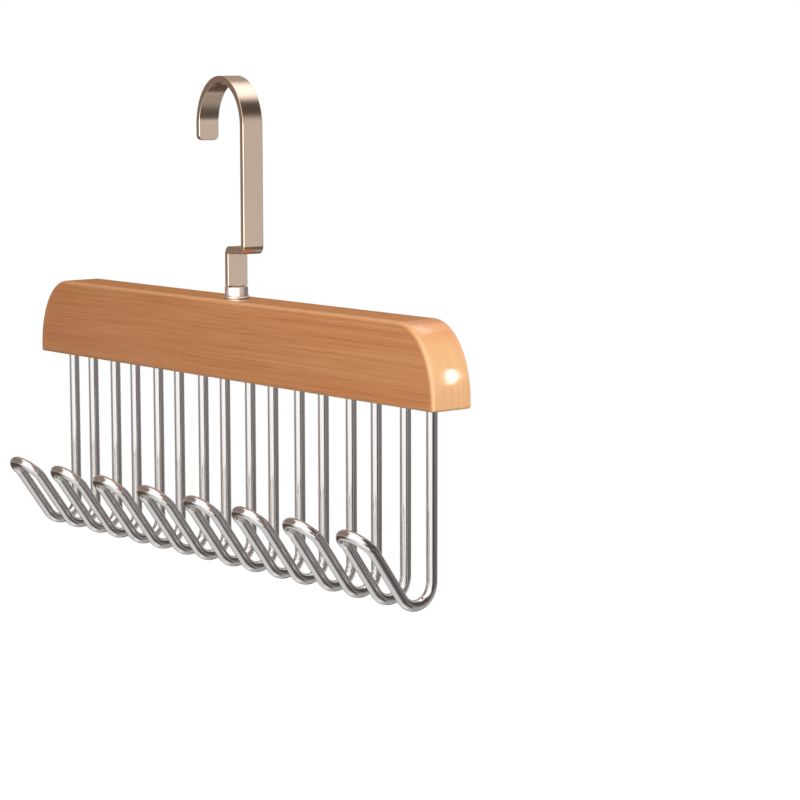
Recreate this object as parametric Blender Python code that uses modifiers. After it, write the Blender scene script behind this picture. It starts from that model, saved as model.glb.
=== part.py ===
"""A wooden hanger for belts, ties and scarves.

A level wooden bar carries a row of formed wire hooks on its underside. A flat metal
hook with a jog in it stands on a turned ferrule in the middle of the bar. It swivels
there, so the bar can be turned round under the rail that it hangs on.

All lengths are in metres and +Z is up. The bar lies along X, with its hooks opening
to -Y. The origin is the rail seat, the inner crown of the flat hook.
"""

import math

import bmesh
import bpy
from mathutils import Matrix, Vector

# Fits
FIT_GAP = 0.0003
CUT_OVERRUN = 0.002

# Wooden bar
BAR_LENGTH = 0.2975
BAR_HEIGHT = 0.0360
BAR_THICKNESS = 0.0219
BAR_END_FOOT = 0.0030
BAR_END_ROUND_LENGTH = 0.0225
BAR_EDGE_RADIUS = 0.0021
BAR_BOTTOM_EDGE_RADIUS = 0.0013

# Wire hooks
HOOK_COUNT = 8
HOOK_END_DISTANCE = 0.0217
WIRE_DIAMETER = 0.0048
LEG_SPACING = 0.0170
LEG_SEAT_DEPTH = 0.0140
LEG_DROP = 0.0735
FOOT_BEND_RADIUS = 0.00895
RISE_ANGLE = math.radians(55)
RISE_LENGTH = 0.0261
LIP_BEND_RADIUS = 0.0067
LIP_ANGLE = math.radians(42.2)

# Flat swivel hook
STRAP_WIDTH = 0.0100
STRAP_THICKNESS = 0.0030
STRAP_EDGE_RADIUS = 0.0010
STRAP_BEND_RADIUS = 0.0007
RAIL_ARCH_RADIUS = 0.0194
SEAT_HEIGHT = 0.0967
SEAT_OFFSET = 0.0057
JOG_HEIGHT = 0.0222
FREE_END_LENGTH = 0.0070
FREE_END_CORNER_RADIUS = 0.0025
HOOK_TURN = math.radians(-8.2)

# Tongue of the strap, brazed in the slotted head of the stem
TONGUE_WIDTH = 0.0054
TONGUE_LENGTH = 0.0040

# Swivel stem
STEM_RADIUS = 0.0021
STEM_HEAD_RADIUS = 0.0032
STEM_HEAD_HEIGHT = 0.0048
PEENED_END_RADIUS = 0.0031
PEENED_END_HEIGHT = 0.0013

# Ferrule, a collar on the wood with a barrel that is pressed into the bar
COLLAR_RADIUS = 0.0053
COLLAR_HEIGHT = 0.0052
COLLAR_EDGE_RADIUS = 0.0003
COLLAR_FLARE = 0.0009
COLLAR_FLARE_HEIGHT = 0.0018
COLLAR_RIM_HEIGHT = 0.0003
BARREL_RADIUS = 0.0040
BARREL_LENGTH = 0.0160

# Washer between the barrel and the peened end of the stem
WASHER_RADIUS = 0.0037
WASHER_THICKNESS = 0.0010

# Fineness of the round forms
ROUND_SIDES = 32
SMALL_ROUND_SIDES = 24
LEG_HOLE_SIDES = 16
WIRE_BEVEL_RESOLUTION = 4
ARCH_STEPS = 26
SHORT_BEND_STEPS = 6
FOOT_BEND_STEPS = 11
LIP_BEND_STEPS = 2
LIP_TURN_STEPS = 14
END_ROUND_STEPS = 12
EDGE_STEPS = 3
STRAP_EDGE_STEPS = 3
FREE_END_CORNER_STEPS = 4
FLARE_STEPS = 4
MERGE_DISTANCE = 0.00001

# Angles between faces, past which a corner counts as one
FLAT_ANGLE = math.radians(1)
SHARP_ANGLE = math.radians(40)
EDGE_ANGLE = math.radians(60)

# Finishes as colour, roughness and metallic value
WOOD_FINISH = ((0.55, 0.25, 0.10, 1.0), 0.35, 0.0)
STEEL_FINISH = ((0.78, 0.77, 0.76, 1.0), 0.12, 1.0)
CHAMPAGNE_FINISH = ((0.62, 0.54, 0.46, 1.0), 0.18, 1.0)
PLAIN_STEEL_FINISH = ((0.55, 0.55, 0.54, 1.0), 0.35, 1.0)

# Places that follow from the sizes, with heights counted from the top of the bar
STRAP_FOOT_Z = COLLAR_HEIGHT + FIT_GAP
TONGUE_END_Z = COLLAR_HEIGHT - TONGUE_LENGTH
WASHER_TOP_Z = -BARREL_LENGTH - FIT_GAP
PEENED_TOP_Z = WASHER_TOP_Z - WASHER_THICKNESS - FIT_GAP
STEM_END_Z = PEENED_TOP_Z - PEENED_END_HEIGHT
ARCH_CENTRE_Z = SEAT_HEIGHT - RAIL_ARCH_RADIUS
ARCH_MID_RADIUS = RAIL_ARCH_RADIUS + STRAP_THICKNESS / 2
WIRE_RADIUS = WIRE_DIAMETER / 2
HOOK_PITCH = (BAR_LENGTH - 2 * HOOK_END_DISTANCE) / (HOOK_COUNT - 1)


def clear_scene():
    """Remove every object, so the script can be run again in the same file."""
    for obj in list(bpy.data.objects):
        bpy.data.objects.remove(obj, do_unlink=True)


def add_collection(name):
    """Make a collection in the scene."""
    collection = bpy.data.collections.new(name)
    bpy.context.scene.collection.children.link(collection)
    return collection


def add_axis(name, collection, location, turn):
    """Make an empty that pieces are parented to."""
    axis = bpy.data.objects.new(name, None)
    axis.empty_display_size = STRAP_WIDTH
    axis.location = location
    axis.rotation_euler = (0, 0, turn)
    collection.objects.link(axis)
    return axis


def add_piece(name, data, collection, parent):
    """Make an object from a mesh or a curve and parent it."""
    piece = bpy.data.objects.new(name, data)
    piece.parent = parent
    collection.objects.link(piece)
    return piece


def set_finish(piece, finish):
    """Give a piece a Principled material of its own."""
    colour, roughness, metallic = finish
    material = bpy.data.materials.new(piece.name + "_finish")
    material.use_nodes = True
    shader = material.node_tree.nodes["Principled BSDF"]
    shader.inputs["Base Color"].default_value = colour
    shader.inputs["Roughness"].default_value = roughness
    shader.inputs["Metallic"].default_value = metallic
    material.diffuse_color = colour
    piece.data.materials.append(material)


def mesh_from(bm, name):
    """Turn a bmesh into a mesh with smooth round faces."""
    mesh = bpy.data.meshes.new(name)
    bm.normal_update()
    bm.to_mesh(mesh)
    bm.free()
    shade_round(mesh)
    return mesh


def shade_round(mesh):
    """Shade smoothly, but keep corners sharp."""
    mesh.shade_smooth()
    mesh.set_sharp_from_angle(angle=SHARP_ANGLE)


def add_bevel(piece, width, segments, limit):
    """Round a piece's edges, found by angle or by weight."""
    bevel = piece.modifiers.new("rounded_edges", "BEVEL")
    bevel.width = width
    bevel.segments = segments
    bevel.limit_method = limit
    bevel.angle_limit = EDGE_ANGLE
    return bevel


def add_cut(piece, cutter):
    """Subtract a cutter from a piece."""
    cut = piece.modifiers.new("cut_by_" + cutter.name, "BOOLEAN")
    cut.operation = "DIFFERENCE"
    cut.solver = "EXACT"
    cut.object = cutter


def as_cutter(cutter):
    """Show a cutter as a wire outline and keep it out of renders."""
    cutter.hide_render = True
    cutter.display_type = "WIRE"
    return cutter


def arc(centre, radius, start, end, steps):
    """Points of an arc in a plane, with both ends."""
    points = []
    for step in range(steps + 1):
        angle = start + (end - start) * step / steps
        points.append((centre[0] + radius * math.cos(angle), centre[1] + radius * math.sin(angle)))
    return points


def turned(name, profile, closed, sides, collection, parent):
    """Revolve a profile of (radius, height) points about Z.

    The profile runs down the outer side of the piece. A closed one goes back up
    inside, and makes a piece with a bore.
    """
    bm = bmesh.new()
    verts = [bm.verts.new((radius, 0, height)) for radius, height in profile]
    for first, second in zip(verts, verts[1:]):
        bm.edges.new((first, second))
    if closed:
        bm.edges.new((verts[-1], verts[0]))
    piece = add_piece(name, mesh_from(bm, name), collection, parent)
    turn = piece.modifiers.new("turned", "SCREW")
    turn.axis = "Z"
    turn.angle = math.tau
    turn.steps = sides
    turn.render_steps = sides
    turn.use_merge_vertices = True
    turn.merge_threshold = MERGE_DISTANCE
    turn.use_smooth_shade = True
    return piece


def cylinder_cutter(name, places, radius, depth, sides, collection, parent):
    """Upright cylinders in one cutter, each centred on its place."""
    bm = bmesh.new()
    for place in places:
        bmesh.ops.create_cone(
            bm,
            cap_ends=True,
            segments=sides,
            radius1=radius,
            radius2=radius,
            depth=depth,
            matrix=Matrix.Translation(place),
        )
    return as_cutter(add_piece(name, mesh_from(bm, name), collection, parent))


def box_cutter(name, boxes, collection, parent):
    """Boxes in one cutter, each given by its centre and its size."""
    bm = bmesh.new()
    for centre, size in boxes:
        bmesh.ops.create_cube(
            bm, size=1, matrix=Matrix.Translation(centre) @ Matrix.Diagonal((*size, 1))
        )
    return as_cutter(add_piece(name, mesh_from(bm, name), collection, parent))


def hook_places():
    """Distances of the wire hooks from the middle of the bar."""
    return [(index - (HOOK_COUNT - 1) / 2) * HOOK_PITCH for index in range(HOOK_COUNT)]


def bar_outline():
    """Outline of the bar seen from the front, with its top at height zero.

    Each end rises from a short upright foot in a quarter of an ellipse.
    """
    half = BAR_LENGTH / 2
    round_height = BAR_HEIGHT - BAR_END_FOOT
    right = [(half, -BAR_HEIGHT)]
    for cosine, sine in arc((0, 0), 1, 0, math.pi / 2, END_ROUND_STEPS):
        along = half - BAR_END_ROUND_LENGTH + BAR_END_ROUND_LENGTH * cosine
        right.append((along, -round_height + round_height * sine))
    left = [(-along, height) for along, height in reversed(right)]
    return right + left


def bar_blank(collection, parent):
    """The bar's body before drilling: its outline, as thick as the bar."""
    curve = bpy.data.curves.new("bar_outline", "CURVE")
    curve.dimensions = "2D"
    curve.fill_mode = "BOTH"
    curve.extrude = BAR_THICKNESS / 2
    outline = bar_outline()
    spline = curve.splines.new("POLY")
    spline.points.add(len(outline) - 1)
    for point, (along, height) in zip(spline.points, outline):
        point.co = (along, height, 0, 1)
    spline.use_cyclic_u = True
    flat = add_piece("bar_outline", curve, collection, parent)
    flat.rotation_euler = (math.pi / 2, 0, 0)
    bpy.context.view_layer.update()

    graph = bpy.context.evaluated_depsgraph_get()
    mesh = bpy.data.meshes.new_from_object(flat.evaluated_get(graph))
    bm = bmesh.new()
    bm.from_mesh(mesh)
    bmesh.ops.remove_doubles(bm, verts=bm.verts, dist=MERGE_DISTANCE)
    bmesh.ops.dissolve_limit(bm, angle_limit=FLAT_ANGLE, verts=bm.verts, edges=bm.edges)
    weigh_bar_edges(bm)
    bm.to_mesh(mesh)
    bm.free()
    shade_round(mesh)
    bar = add_piece("wood_bar", mesh, collection, parent)
    bar.rotation_euler = flat.rotation_euler
    bpy.data.objects.remove(flat, do_unlink=True)
    return bar


def weigh_bar_edges(bm):
    """Set how far each corner of the bar is rounded, less along its underside."""
    weights = bm.edges.layers.float.new("bevel_weight_edge")
    bottom_share = BAR_BOTTOM_EDGE_RADIUS / BAR_EDGE_RADIUS
    for edge in bm.edges:
        if edge.calc_face_angle(0) < EDGE_ANGLE:
            edge[weights] = 0
        elif all(vert.co.y < -BAR_HEIGHT + MERGE_DISTANCE for vert in edge.verts):
            edge[weights] = bottom_share
        else:
            edge[weights] = 1


def make_bar(parts, cutters, axis):
    """The wooden bar, drilled for the wire legs and bored for the ferrule."""
    bar = bar_blank(parts, axis)
    add_bevel(bar, BAR_EDGE_RADIUS, EDGE_STEPS, "WEIGHT")

    hole_depth = LEG_SEAT_DEPTH + FIT_GAP
    hole_middle = -BAR_HEIGHT + (hole_depth - CUT_OVERRUN) / 2
    legs = [place + side * LEG_SPACING / 2 for place in hook_places() for side in (-1, 1)]
    leg_holes = cylinder_cutter(
        "leg_holes",
        [Vector((leg, 0, hole_middle)) for leg in legs],
        WIRE_RADIUS + FIT_GAP,
        hole_depth + CUT_OVERRUN,
        LEG_HOLE_SIDES,
        cutters,
        axis,
    )
    add_cut(bar, leg_holes)

    bore_depth = FIT_GAP - STEM_END_Z
    ferrule_bore = cylinder_cutter(
        "ferrule_bore",
        [Vector((0, 0, (CUT_OVERRUN - bore_depth) / 2))],
        BARREL_RADIUS + FIT_GAP,
        bore_depth + CUT_OVERRUN,
        ROUND_SIDES,
        cutters,
        axis,
    )
    add_cut(bar, ferrule_bore)
    set_finish(bar, WOOD_FINISH)


def wire_side():
    """Half of a wire hook seen from its side, as (outward, height) points.

    Heights are counted from the underside of the bar. The leg goes down from its
    seat in the wood, the foot bend carries it forward and up, and the rise tips
    over a little where the lip begins.
    """
    points = [(0, LEG_SEAT_DEPTH)]
    foot_centre = (FOOT_BEND_RADIUS, -LEG_DROP)
    foot_end = 3 * math.pi / 2 + RISE_ANGLE
    points += arc(foot_centre, FOOT_BEND_RADIUS, math.pi, foot_end, FOOT_BEND_STEPS)
    rise_end = (
        points[-1][0] + RISE_LENGTH * math.cos(RISE_ANGLE),
        points[-1][1] + RISE_LENGTH * math.sin(RISE_ANGLE),
    )
    lip_centre = (
        rise_end[0] + LIP_BEND_RADIUS * math.sin(RISE_ANGLE),
        rise_end[1] - LIP_BEND_RADIUS * math.cos(RISE_ANGLE),
    )
    quarter = math.pi / 2
    points += arc(lip_centre, LIP_BEND_RADIUS, RISE_ANGLE + quarter, LIP_ANGLE + quarter, LIP_BEND_STEPS)
    return points


def wire_route():
    """The whole wire of one hook: down one side, round the lip and back up."""
    side = wire_side()
    half = LEG_SPACING / 2
    lip_out, lip_height = side[-1]
    right = [Vector((half, -out, height)) for out, height in side]
    left = [Vector((-half, -out, height)) for out, height in reversed(side)]
    turn = []
    for across, forward in arc((0, 0), half, 0, math.pi, LIP_TURN_STEPS)[1:-1]:
        out = lip_out + forward * math.cos(LIP_ANGLE)
        height = lip_height + forward * math.sin(LIP_ANGLE)
        turn.append(Vector((across, -out, height)))
    return right + turn + left


def make_wire_hook(name, place, parts, axis):
    """One hook: a single wire with both its ends in the underside of the bar."""
    curve = bpy.data.curves.new(name, "CURVE")
    curve.dimensions = "3D"
    curve.bevel_depth = WIRE_RADIUS
    curve.bevel_resolution = WIRE_BEVEL_RESOLUTION
    curve.use_fill_caps = True
    route = wire_route()
    spline = curve.splines.new("POLY")
    spline.points.add(len(route) - 1)
    for point, position in zip(spline.points, route):
        point.co = (*position, 1)
    spline.use_smooth = True
    hook = add_piece(name, curve, parts, axis)
    hook.location = (place, 0, -BAR_HEIGHT)
    set_finish(hook, STEEL_FINISH)


def strap_centre_line():
    """The strap seen from its edge, as (outward, height) points from its tongue up.

    It rises on the swivel axis, jogs outward over one sharp double bend, rises to
    the arch that goes over the rail, and ends in a short straight on the far side.
    """
    bend = STRAP_BEND_RADIUS + STRAP_THICKNESS / 2
    leg = ARCH_MID_RADIUS - SEAT_OFFSET
    quarter = math.pi / 2
    points = [(0, TONGUE_END_Z)]
    points += arc((bend, JOG_HEIGHT - bend), bend, math.pi, quarter, SHORT_BEND_STEPS)
    points += arc((leg - bend, JOG_HEIGHT + bend), bend, -quarter, 0, SHORT_BEND_STEPS)
    points += arc((-SEAT_OFFSET, ARCH_CENTRE_Z), ARCH_MID_RADIUS, 0, math.pi, ARCH_STEPS)
    points.append((-SEAT_OFFSET - ARCH_MID_RADIUS, ARCH_CENTRE_Z - FREE_END_LENGTH))
    return points


def make_strap(parts, cutters, axis):
    """The flat hook: a bent strip given its thickness, with a tongue at its foot."""
    bm = bmesh.new()
    line = strap_centre_line()
    verts = [bm.verts.new((out, -STRAP_WIDTH / 2, height)) for out, height in line]
    edges = [bm.edges.new(pair) for pair in zip(verts, verts[1:])]
    swept = bmesh.ops.extrude_edge_only(bm, edges=edges)["geom"]
    moved = [item for item in swept if isinstance(item, bmesh.types.BMVert)]
    bmesh.ops.translate(bm, verts=moved, vec=(0, STRAP_WIDTH, 0))
    end_out, end_height = line[-1]
    corners = [
        vert for vert in bm.verts
        if (vert.co - Vector((end_out, vert.co.y, end_height))).length < MERGE_DISTANCE
    ]
    bmesh.ops.bevel(
        bm,
        geom=corners,
        offset=FREE_END_CORNER_RADIUS,
        segments=FREE_END_CORNER_STEPS,
        profile=0.5,
        affect="VERTICES",
    )
    strap = add_piece("hook_strap", mesh_from(bm, "hook_strap"), parts, axis)
    thicken = strap.modifiers.new("strip_thickness", "SOLIDIFY")
    thicken.thickness = STRAP_THICKNESS
    thicken.offset = 0
    thicken.use_even_offset = True
    add_bevel(strap, STRAP_EDGE_RADIUS, STRAP_EDGE_STEPS, "ANGLE")

    cut_width = (STRAP_WIDTH - TONGUE_WIDTH) / 2 + CUT_OVERRUN
    cut_height = TONGUE_LENGTH + FIT_GAP + CUT_OVERRUN
    cut_size = (STRAP_THICKNESS + 2 * CUT_OVERRUN, cut_width, cut_height)
    shoulders = [
        (Vector((0, side * (TONGUE_WIDTH + cut_width) / 2, STRAP_FOOT_Z - cut_height / 2)), cut_size)
        for side in (-1, 1)
    ]
    add_cut(strap, box_cutter("tongue_shoulders", shoulders, cutters, axis))
    set_finish(strap, CHAMPAGNE_FINISH)


def make_stem(parts, cutters, axis):
    """The pin that the bar hangs on: slotted head, shank and peened lower end."""
    head_bottom = COLLAR_HEIGHT - STEM_HEAD_HEIGHT
    stem = turned(
        "swivel_stem",
        [
            (0, COLLAR_HEIGHT),
            (STEM_HEAD_RADIUS, COLLAR_HEIGHT),
            (STEM_HEAD_RADIUS, head_bottom),
            (STEM_RADIUS, head_bottom),
            (STEM_RADIUS, PEENED_TOP_Z),
            (PEENED_END_RADIUS, PEENED_TOP_Z),
            (PEENED_END_RADIUS, STEM_END_Z + PEENED_END_HEIGHT / 2),
            (STEM_RADIUS, STEM_END_Z),
            (0, STEM_END_Z),
        ],
        False,
        SMALL_ROUND_SIDES,
        parts,
        axis,
    )
    slot_depth = TONGUE_LENGTH + FIT_GAP
    slot_size = (
        STRAP_THICKNESS + 2 * FIT_GAP,
        2 * (STEM_HEAD_RADIUS + CUT_OVERRUN),
        slot_depth + CUT_OVERRUN,
    )
    slot_middle = COLLAR_HEIGHT + (CUT_OVERRUN - slot_depth) / 2
    slot = box_cutter("tongue_slot", [(Vector((0, 0, slot_middle)), slot_size)], cutters, axis)
    add_cut(stem, slot)
    set_finish(stem, PLAIN_STEEL_FINISH)


def make_ferrule(parts, axis):
    """The turned collar that the hook stands on, with its barrel in the wood."""
    shoulder = COLLAR_HEIGHT - STEM_HEAD_HEIGHT - FIT_GAP
    bore = STEM_RADIUS + FIT_GAP
    head_bore = STEM_HEAD_RADIUS + FIT_GAP
    rim_radius = COLLAR_RADIUS + COLLAR_FLARE
    rim_top = FIT_GAP + COLLAR_RIM_HEIGHT
    flare = [
        (rim_radius - COLLAR_FLARE * cosine, rim_top + COLLAR_FLARE_HEIGHT * (1 - sine))
        for cosine, sine in arc((0, 0), 1, 0, math.pi / 2, FLARE_STEPS)
    ]
    profile = [
        (head_bore, COLLAR_HEIGHT),
        (COLLAR_RADIUS - COLLAR_EDGE_RADIUS, COLLAR_HEIGHT),
        (COLLAR_RADIUS, COLLAR_HEIGHT - COLLAR_EDGE_RADIUS),
        *flare,
        (rim_radius, FIT_GAP),
        (BARREL_RADIUS, FIT_GAP),
        (BARREL_RADIUS, -BARREL_LENGTH),
        (bore, -BARREL_LENGTH),
        (bore, shoulder),
        (head_bore, shoulder),
    ]
    ferrule = turned("ferrule", profile, True, ROUND_SIDES, parts, axis)
    set_finish(ferrule, STEEL_FINISH)


def make_washer(parts, axis):
    """The washer that the barrel rests on, held up by the peened end."""
    bore = STEM_RADIUS + FIT_GAP
    bottom = WASHER_TOP_Z - WASHER_THICKNESS
    profile = [
        (bore, WASHER_TOP_Z),
        (WASHER_RADIUS, WASHER_TOP_Z),
        (WASHER_RADIUS, bottom),
        (bore, bottom),
    ]
    washer = turned("stem_washer", profile, True, SMALL_ROUND_SIDES, parts, axis)
    set_finish(washer, PLAIN_STEEL_FINISH)


def main():
    clear_scene()
    parts = add_collection("wooden_hanger")
    cutters = add_collection("cutters")
    stem_place = (SEAT_OFFSET * math.cos(HOOK_TURN), SEAT_OFFSET * math.sin(HOOK_TURN), -SEAT_HEIGHT)
    hook_axis = add_axis("hook_side", parts, stem_place, HOOK_TURN)
    bar_axis = add_axis("bar_side", parts, stem_place, 0)

    make_bar(parts, cutters, bar_axis)
    for number, place in enumerate(hook_places(), start=1):
        make_wire_hook("wire_hook_" + str(number), place, parts, bar_axis)
    make_ferrule(parts, bar_axis)

    make_strap(parts, cutters, hook_axis)
    make_stem(parts, cutters, hook_axis)
    make_washer(parts, hook_axis)


main()
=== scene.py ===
"""Looks of a wooden hanger for belts, ties and scarves.

A lacquered wooden bar carries eight polished wire hooks on its underside and hangs
from a flat champagne coloured hook, which swivels on a polished ferrule. Lengths are
in metres, +Z is up, and the bar lies along X with its hooks opening to -Y.
"""

import math

import bmesh
import bpy
from bpy.props import FloatProperty, FloatVectorProperty, IntProperty, PointerProperty
from mathutils import Matrix, Vector


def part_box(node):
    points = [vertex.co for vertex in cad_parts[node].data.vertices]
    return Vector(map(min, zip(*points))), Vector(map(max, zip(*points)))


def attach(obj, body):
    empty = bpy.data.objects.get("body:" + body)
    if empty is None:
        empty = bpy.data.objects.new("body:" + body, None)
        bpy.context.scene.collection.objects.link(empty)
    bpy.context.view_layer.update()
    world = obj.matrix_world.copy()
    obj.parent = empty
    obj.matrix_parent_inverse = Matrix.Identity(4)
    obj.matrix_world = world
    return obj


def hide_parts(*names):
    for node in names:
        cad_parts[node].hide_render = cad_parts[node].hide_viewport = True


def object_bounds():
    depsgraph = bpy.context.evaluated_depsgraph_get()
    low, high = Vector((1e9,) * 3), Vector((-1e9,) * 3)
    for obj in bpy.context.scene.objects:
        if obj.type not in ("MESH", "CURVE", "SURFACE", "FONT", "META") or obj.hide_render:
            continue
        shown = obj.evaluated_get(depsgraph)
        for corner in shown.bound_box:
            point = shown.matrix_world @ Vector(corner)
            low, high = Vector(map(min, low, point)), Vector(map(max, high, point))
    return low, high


bl_info = {
    "name": "Wooden Hanger",
    "version": (1, 0, 0),
    "blender": (4, 5, 0),
    "location": "3D View > Sidebar > Hanger",
    "description": "Models and finishes a wooden hanger with wire hooks and a flat swivel hook",
    "category": "Object",
}

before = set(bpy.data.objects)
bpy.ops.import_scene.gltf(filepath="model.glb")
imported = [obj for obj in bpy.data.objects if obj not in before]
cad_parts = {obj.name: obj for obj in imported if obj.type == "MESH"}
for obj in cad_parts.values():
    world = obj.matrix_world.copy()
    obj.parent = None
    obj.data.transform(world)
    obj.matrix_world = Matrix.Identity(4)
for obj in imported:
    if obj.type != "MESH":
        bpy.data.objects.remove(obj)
CAD_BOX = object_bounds()

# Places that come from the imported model
MIDDLE = (CAD_BOX[0] + CAD_BOX[1]) / 2
BAR_LOW, BAR_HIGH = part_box("wood_bar")
STEM_LOW, STEM_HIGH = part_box("swivel_stem")
STRAP_LOW, STRAP_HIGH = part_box("hook_strap")
FERRULE_LOW, FERRULE_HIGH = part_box("ferrule")
STEM_X = (STEM_LOW.x + STEM_HIGH.x) / 2
STEM_Y = (STEM_LOW.y + STEM_HIGH.y) / 2
BAR_TOP = BAR_HIGH.z
BAR_BOTTOM = BAR_LOW.z
HOOK_NODES = sorted(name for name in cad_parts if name.startswith("wire_hook_"))
HIDDEN_NODES = ("swivel_stem", "stem_washer")

# Gap under the flat hook's wide foot and under the ferrule's collar
FOOT_GAP = 0.0003

# How far a drill reaches out of the wood
DRILL_OVERRUN = 0.002

# Steps of the round shapes
END_ROUND_STEPS = 36
BAR_EDGE_STEPS = 6
LEG_HOLE_SIDES = 32
BORE_SIDES = 48
FOOT_BEND_STEPS = 28
LIP_BEND_STEPS = 5
LIP_TURN_STEPS = 40
STRIP_BEND_STEPS = 10
ARCH_STEPS = 64
END_CORNER_STEPS = 8
STRIP_EDGE_STEPS = 4
COLLAR_EDGE_STEPS = 4
FLARE_STEPS = 10
FERRULE_STEPS = 96
PANEL_LIFT_STEPS = 8
PANEL_TURN_STEPS = 24
FLOOR_SIDES = 96

# Angle past which an edge is a corner, and the angles in degrees up to which each piece is
# shaded smoothly
CORNER_ANGLE = math.radians(60)
SMOOTH_BAR = 30
SMOOTH_WIRE = 60
SMOOTH_STRIP = 40
SMOOTH_FERRULE = 35

# Numbers of the axes
X_AXIS = 0
Y_AXIS = 1

# Share that counts as the whole, of an edge's length along an axis, a height or a normal
NEARLY = 0.99

# Distance at which two corners of a mesh are one
MERGE_DISTANCE = 0.000001

# Patterns of the wood: features per metre along X, Y and Z, shift, detail and roughness
WANDER = ((9, 8, 8), (0.2, 0, 0), 2, 0.5)
RIPPLE = ((30, 60, 60), (0.9, 0.3, 0), 2, 0.5)
FIGURE = ((6, 900, 480), (0, 0, 0), 3, 0.6)
STREAK = ((11, 2200, 1500), (0.7, 0.1, 0), 3, 0.6)
FIBRE = ((60, 4600, 3400), (0.1, 0.2, 0), 2, 0.6)
WARM_CLOUD = ((16, 30, 60), (0.4, 0.6, 0.1), 2, 0.5)
GOLDEN_CLOUD = ((9, 20, 90), (0.1, 0.3, 0.7), 2, 0.5)
END_LAYER = ((30, 950, 42), (0.3, 0.5, 0), 3, 0.55)
END_LINE = ((60, 2600, 90), (0.6, 0.2, 0), 2, 0.6)

# How far the grain wanders up and down, in long waves and in short ones, and the share of
# that which it wanders from front to back
WANDER_HEIGHT = 0.0035
RIPPLE_HEIGHT = 0.0006
DEPTH_SHARE = 0.3

# Shares of the patterns in the tone of the bar's sides and in that of its ends
FIGURE_SHARE = 0.30
STREAK_SHARE = 0.42
FIBRE_SHARE = 0.28
LAYER_SHARE = 0.55
LINE_SHARE = 0.45

# Values between which each part of the wood's colour sets in
END_RANGE = (0.10, 0.85)
MIDDLE_RANGE = (0.34, 0.54)
PALE_RANGE = (0.48, 0.68)
WARM_RANGE = (0.35, 0.75)
GOLDEN_RANGE = (0.40, 0.75)
PORE_FIBRE_RANGE = (0.60, 0.74)
PORE_STREAK_RANGE = (0.50, 0.62)

# Shares of the clouds, the paler ends (end grain and painted sheen), the painted highlight
# along the rounded edges and the pores in the colour. The painted edge highlight gains at the
# ends, and the pores lose.
WARM_SHARE = 0.40
GOLDEN_SHARE = 0.45
END_GRAIN_AND_SHEEN_SHARE = 0.60
EDGE_HIGHLIGHT_SHARE = 0.30
END_EDGE_HIGHLIGHT_GAIN = 0.45
PORE_SHARE = 0.22
END_PORE_LOSS = 0.12

# Roughness of the wood, what fibres and pores add to it, and the height of the fibres in its
# relief as a share of the pores' depth
WOOD_ROUGHNESS = 0.36
FIBRE_ROUGHNESS = 0.10
PORE_ROUGHNESS = 0.12
FIBRE_HEIGHT = 0.4

# Patterns of the metals, in the same order
SMEAR = ((90, 90, 25), (0, 0, 0), 3, 0.6)
WAVE = ((60, 60, 15), (0, 0, 0), 0, 0.5)
BRUSHING = ((12, 2600, 12), (0, 0, 0), 3, 0.6)
PLATING_CLOUD = ((60, 60, 60), (0, 0, 0), 3, 0.55)
TURNING = ((40, 40, 6000), (0, 0, 0), 2, 0.6)

# Depth of each finish's relief
LACQUER_RELIEF = 0.00001
POLISH_RELIEF = 0.000008
BRUSHED_RELIEF = 0.0000006
TURNED_RELIEF = 0.000005

# Lowest and highest roughness of the polished metals
WIRE_ROUGHNESS = (0.10, 0.16)
FERRULE_ROUGHNESS = (0.36, 0.42)

# Brightness of a smear as a share of the polished metal round it, and its share in the colour
SMEAR_BRIGHTNESS = 0.88
SMEAR_SHARE = 0.3

# Shares of the brushed lines and of the clouds in the plating's colour, its roughness, and
# what each of the two adds to that
BRUSHED_SHARE = 0.18
CLOUD_SHARE = 0.15
PLATING_ROUGHNESS = 0.15
PLATING_GRAIN = 0.05

# Share of the turning marks in the turned steel's colour, its roughness, and what they add
GROOVE_SHARE = 0.4
TURNED_ROUGHNESS = 0.28
GROOVE_ROUGHNESS = 0.15

# Glow of the floor where it is seen or mirrored, and the glow's share of the floor's look
FLOOR_GLOW = 1.45
FLOOR_GLOW_SHARE = 0.6

# Points of the bar's right end where its two highlights lie
GLINT_PLACE = Vector((BAR_HIGH.x, STEM_Y, BAR_BOTTOM + 0.0125))
SHINE_PLACE = Vector((BAR_HIGH.x - 0.0135, STEM_Y - 0.007, BAR_TOP - 0.0028))

# Lamps of the stage: what they aim at, azimuth from +X, elevation and tilt in degrees,
# distance and size
LAMPS = {
    "key_lamp": (MIDDLE, 20, 14, 0, 1.4, (0.7, 0.7)),
    "front_lamp": (MIDDLE, -50, 36, 0, 0.75, (0.5, 0.5)),
    "glint_lamp": (GLINT_PLACE, 42.6, 13.8, 12.5, 0.2, (0.0056, 0.058)),
    "shine_lamp": (SHINE_PLACE, 105, 47.8, -75, 0.2, (0.0080, 0.140)),
}

# Nearest and farthest that the camera sees, and the width of its film in millimetres
CAMERA_REACH = (0.01, 100)
FILM_WIDTH = 36

# Degrees over which a panel of the stage fades out at its sides, foot and top
PANEL_FADES = (9, 9, 9)

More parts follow.
